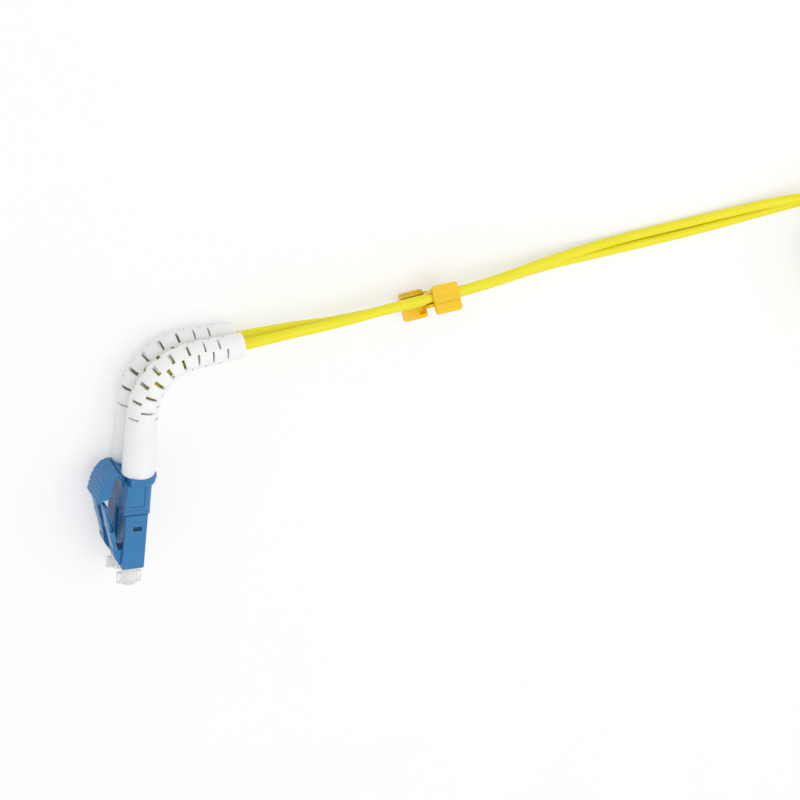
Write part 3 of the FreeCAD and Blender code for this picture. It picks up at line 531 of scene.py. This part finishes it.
# The recess in the back plate and the groove in the front one: two corners each, and how deep they are.
RECESS, RECESS_DEEP = ((-1.9, -2.0), (-0.6, -0.9)), 0.8
GROOVE, GROOVE_DEEP = ((-0.3, -0.85), (CLIP_HALF + 0.1, 0.85)), 0.25
CLIP_EDGE = 0.13
CLIP_PLACE, CLIP_TILT, CLIP_YAW = (60.5, 33.55, 4.6), -28.2, 9.8
# How far off a height a face or a corner may lie and still count as on it.
LEVEL_SLACK = 0.01


def softened(node, width, material, body, reshape=None):
    """A copy of a CAD node, reshaped if need be and with its edges rounded, which stands for it."""
    mesh = bmesh.new()
    mesh.from_mesh(frame["nodes"][node].data)
    bmesh.ops.remove_doubles(mesh, verts=mesh.verts, dist=1e-7)
    bmesh.ops.dissolve_limit(
        mesh, angle_limit=math.radians(0.5), verts=mesh.verts, edges=mesh.edges,
        use_dissolve_boundaries=False
    )
    if reshape:
        reshape(mesh)
    rounded(mesh, width * MM, SHARP, 3)
    made = placed(f"{node}_shown", mesh, material)
    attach(made, body)
    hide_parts(node)
    return made


def thin_rim(mesh):
    """Slopes the front of the clip's rim on the side that the boots bend to, and cuts off its ears."""
    for corner in mesh.verts:
        past = corner.co.x / MM - RIM_ROOT
        if past > 0 and corner.co.y / MM < RIM_FRONT:
            corner.co.y += past / RIM_REACH * RIM_SLOPE * MM
    cut = bmesh.ops.bisect_plane(
        mesh, geom=[*mesh.verts, *mesh.edges, *mesh.faces], dist=1e-7,
        plane_co=(-COVER_FACE * MM, 0, 0), plane_no=(-1, 0, 0), clear_outer=True
    )
    edges = [part for part in cut["geom_cut"] if isinstance(part, bmesh.types.BMEdge)]
    bmesh.ops.holes_fill(mesh, edges=edges, sides=0)


def block(mesh, low, high):
    """A box between two corners, in millimetres."""
    low, high = Vector(low), Vector(high)
    size = high - low
    return bmesh.ops.create_cube(
        mesh, size=1.0, matrix=Matrix.Translation((low + high) / 2) @ Matrix.Diagonal((*size, 1))
    )["verts"]


def sunk(mesh, corners, low, high, depth, top):
    """Sinks the part of the faces at one height that lies between two points into the box."""
    faces = list(dict.fromkeys(
        face for corner in corners for face in corner.link_faces
        if abs(face.calc_center_median().z - top) < LEVEL_SLACK
    ))
    geom = [*faces, *dict.fromkeys(part for face in faces for part in (*face.edges, *face.verts))]
    for axis in (0, 1):
        for at in (low[axis], high[axis]):
            point, normal = Vector((0, 0, 0)), Vector((0, 0, 0))
            point[axis], normal[axis] = at, 1
            geom = bmesh.ops.bisect_plane(
                mesh, geom=geom, plane_co=point, plane_no=normal, dist=1e-5
            )["geom"]
    picked = []
    for part in geom:
        if isinstance(part, bmesh.types.BMFace):
            middle = part.calc_center_median()
            if low[0] < middle.x < high[0] and low[1] < middle.y < high[1]:
                picked.append(part)
    grown = bmesh.ops.extrude_face_region(mesh, geom=picked)["geom"]
    bmesh.ops.delete(mesh, geom=picked, context="FACES_ONLY")
    sunken = [part for part in grown if isinstance(part, bmesh.types.BMVert)]
    bmesh.ops.translate(mesh, verts=sunken, vec=(0, 0, -depth))


def pair_clip():
    """The clip on the cords: a channel whose back is closed at one half and whose front at the other."""
    mesh = bmesh.new()
    block(mesh, (-CLIP_HALF, UPPER_WALL[0], -WALL_DEEP), (CLIP_SEAM, UPPER_WALL[1], BACK_LEDGE))
    for low, high in (UPPER_WALL, LOWER_WALL):
        block(mesh, (BRIDGE[0], low, -WALL_DEEP), (BRIDGE[1], high, WALL_DEEP))
    for low, high in (UPPER_WALL, LOWER_WALL):
        block(mesh, (0.0, low, FRONT_LEDGE), (CLIP_HALF, high, WALL_DEEP))
    back = block(mesh, (-CLIP_HALF, -CLIP_WING, -PLATE_OUT), (CLIP_SEAM, CLIP_WING, -PLATE_IN))
    front = block(mesh, (CLIP_SEAM, -CLIP_WING, PLATE_IN), (CLIP_HALF, CLIP_WING, PLATE_OUT))
    rounded_corners(mesh, [*back, *front], PLATE_ROUND)
    back = [corner for corner in mesh.verts
            if corner.co.z < 0.1 - PLATE_IN and corner.co.x < CLIP_SEAM + 0.1]
    sunk(mesh, back, *RECESS, RECESS_DEEP, -PLATE_IN)
    front = [corner for corner in mesh.verts
             if corner.co.z > PLATE_IN + 1e-4 or corner.co.x > CLIP_HALF - LEVEL_SLACK]
    sunk(mesh, front, *GROOVE, GROOVE_DEEP, PLATE_OUT)
    rounded(mesh, CLIP_EDGE, 40)
    for degrees, axis in ((CLIP_TILT, "X"), (CLIP_YAW, "Z")):
        turn = Matrix.Rotation(math.radians(degrees), 3, axis)
        bmesh.ops.rotate(mesh, verts=mesh.verts, cent=(0, 0, 0), matrix=turn)
    bmesh.ops.translate(mesh, verts=mesh.verts, vec=CLIP_PLACE)
    bmesh.ops.scale(mesh, verts=mesh.verts, vec=(MM, MM, MM))
    bmesh.ops.recalc_face_normals(mesh, faces=mesh.faces)
    return mesh


def rounded_corners(mesh, corners, radius):
    """Rounds the upright edges of boxes."""
    edges = list(dict.fromkeys(
        edge for corner in corners for edge in corner.link_edges
        if abs(edge.verts[0].co.z - edge.verts[1].co.z) > 0.5
    ))
    bmesh.ops.bevel(
        mesh, geom=edges, offset=radius, segments=5, profile=0.5, affect="EDGES", material=-1,
        clamp_overlap=True
    )


# The ties: how wide the strap and its lap are, how far off the lap lies, and how thick the sheet is.
TIE_WIDE, LAP_WIDE, TIE_LAP, TIE_SHEET = 4.6, 4.2, 0.3, 0.26
# The room that the strap has inside and outside the coil, and how far it is pulled down on top.
TIE_INSIDE, TIE_OUTSIDE, TIE_PULL = 0.45, 0.05, 0.1
# The lap's height at its start, and how far its end stays from the strap's inner side.
LAP_START, LAP_END = 4.0, 3.0
TIE_BEND, TIE_EDGE = 0.7, 0.05


def band(mesh, ring, closed, width):
    """A thin sheet along a line of corners, as wide as a tie, with rounded bends."""
    corners = [mesh.verts.new((x, -width / 2, z)) for x, z in ring]
    spans = list(zip(corners, corners[1:])) + ([(corners[-1], corners[0])] if closed else [])
    for span in spans:
        mesh.edges.new(span)
    bends = corners if closed else corners[1:-1]
    bmesh.ops.bevel(
        mesh, geom=bends, offset=TIE_BEND, segments=4, profile=0.5, affect="VERTICES", material=-1,
        clamp_overlap=True
    )
    line = [edge for edge in mesh.edges if edge.is_wire]
    grown = bmesh.ops.extrude_edge_only(mesh, edges=line)["geom"]
    bmesh.ops.translate(
        mesh, verts=[part for part in grown if isinstance(part, bmesh.types.BMVert)], vec=(0, width, 0)
    )


def strap(side):
    """A woven tie round both coils, whose end laps over the outside of itself."""
    mesh = bmesh.new()
    near = COIL_MEAN / 2 - 2 * PACK - TIE_INSIDE
    far = COIL_MEAN / 2 + 2 * PACK + TIE_OUTSIDE
    low, high = TIE_THICK / 2, 1.5 * TIE_THICK + 6 * PACK - TIE_PULL
    outside, above = far + TIE_LAP, high + TIE_LAP
    band(mesh, [(near, low), (far, low), (far, high), (near, high)], True, TIE_WIDE)
    band(mesh, [(outside, LAP_START), (outside, above), (near + LAP_END, above)], False, LAP_WIDE)
    bmesh.ops.recalc_face_normals(mesh, faces=mesh.faces)
    bmesh.ops.solidify(mesh, geom=list(mesh.faces), thickness=TIE_SHEET)
    bmesh.ops.recalc_face_normals(mesh, faces=mesh.faces)
    rounded(mesh, TIE_EDGE, 50)
    bmesh.ops.scale(mesh, verts=mesh.verts, vec=(side, side, 1))
    bmesh.ops.translate(mesh, verts=mesh.verts, vec=(COIL_X, COIL_Y, 0))
    bmesh.ops.scale(mesh, verts=mesh.verts, vec=(MM, MM, MM))
    return mesh


# ---- the whole scene ----

camera()
groups = {"surface": surface_group(), "weave": weave_group()}
studio()
looks = materials()
bodies = frame["record"]["behaviour"]["bodies"]
body_of = {node: body for body, nodes in bodies.items() for node in nodes}
slot_of = {entry["node"]: entry["material_slot"] for entry in frame["record"]["subparts"]}

for node, mesh, material in (
    ("cord_clip", pair_clip(), "amber_plastic"),
    ("coil_tie_near", strap(-1), "tie_fabric"),
    ("coil_tie_far", strap(1), "tie_fabric"),
):
    piece = placed(f"{node}_shown", mesh, looks[material])
    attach(piece, "connector")
    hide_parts(node)

for side in ("lower", "upper"):
    inside = cord_in_boot(side)
    jacket = spline(f"jacket_{side}_shown", inside, CORD_RADIUS, looks["yellow_jacket"])
    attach(jacket, "connector")
    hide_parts(f"jacket_{side}")
    run = Vector(inside[-1]) - Vector(inside[-2])
    first = Vector(inside[-1]) + run.normalized() * FIRST_RUN
    bottom = TIE_THICK + PACK / 2 + (0 if side == "lower" else 3 * PACK)
    route = [inside[-1], tuple(first), *ROUTE[side]]
    route += coil_points(route[-1], bottom)
    free = spline(f"cord_{side}_shown", route, CORD_RADIUS, looks["yellow_jacket"])
    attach(free, "connector")
    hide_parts(f"cord_{side}", f"coil_{side}")

    boot = placed(f"boot_{side}_shown", boot_sleeve(side), looks["white_boot"])
    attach(boot, "connector")
    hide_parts(f"boot_{side}")

# How much the edges of each copied node are rounded.
EDGES = {
    "plug_housing_lower": 0.10, "plug_housing_upper": 0.10,
    "latch_arm_lower": 0.10, "latch_arm_upper": 0.10,
    "clip_base": 0.05, "clip_cover": 0.03, "trigger": 0.10,
    "dust_cap_lower": 0.08, "dust_cap_upper": 0.08,
}
for node, width in EDGES.items():
    reshape = thin_rim if node == "clip_base" else None
    slot = slot_of[node]
    softened(node, width, looks[slot], body_of[node], reshape)

for node, thing in frame["nodes"].items():
    if not thing.hide_render:
        thing.data.materials.clear()
        # The backbone pieces get the darker blue, painted shade for the window they are seen through.
        look = "painted_shade_blue" if node.startswith("backbone") else slot_of[node]
        thing.data.materials.append(looks[look])
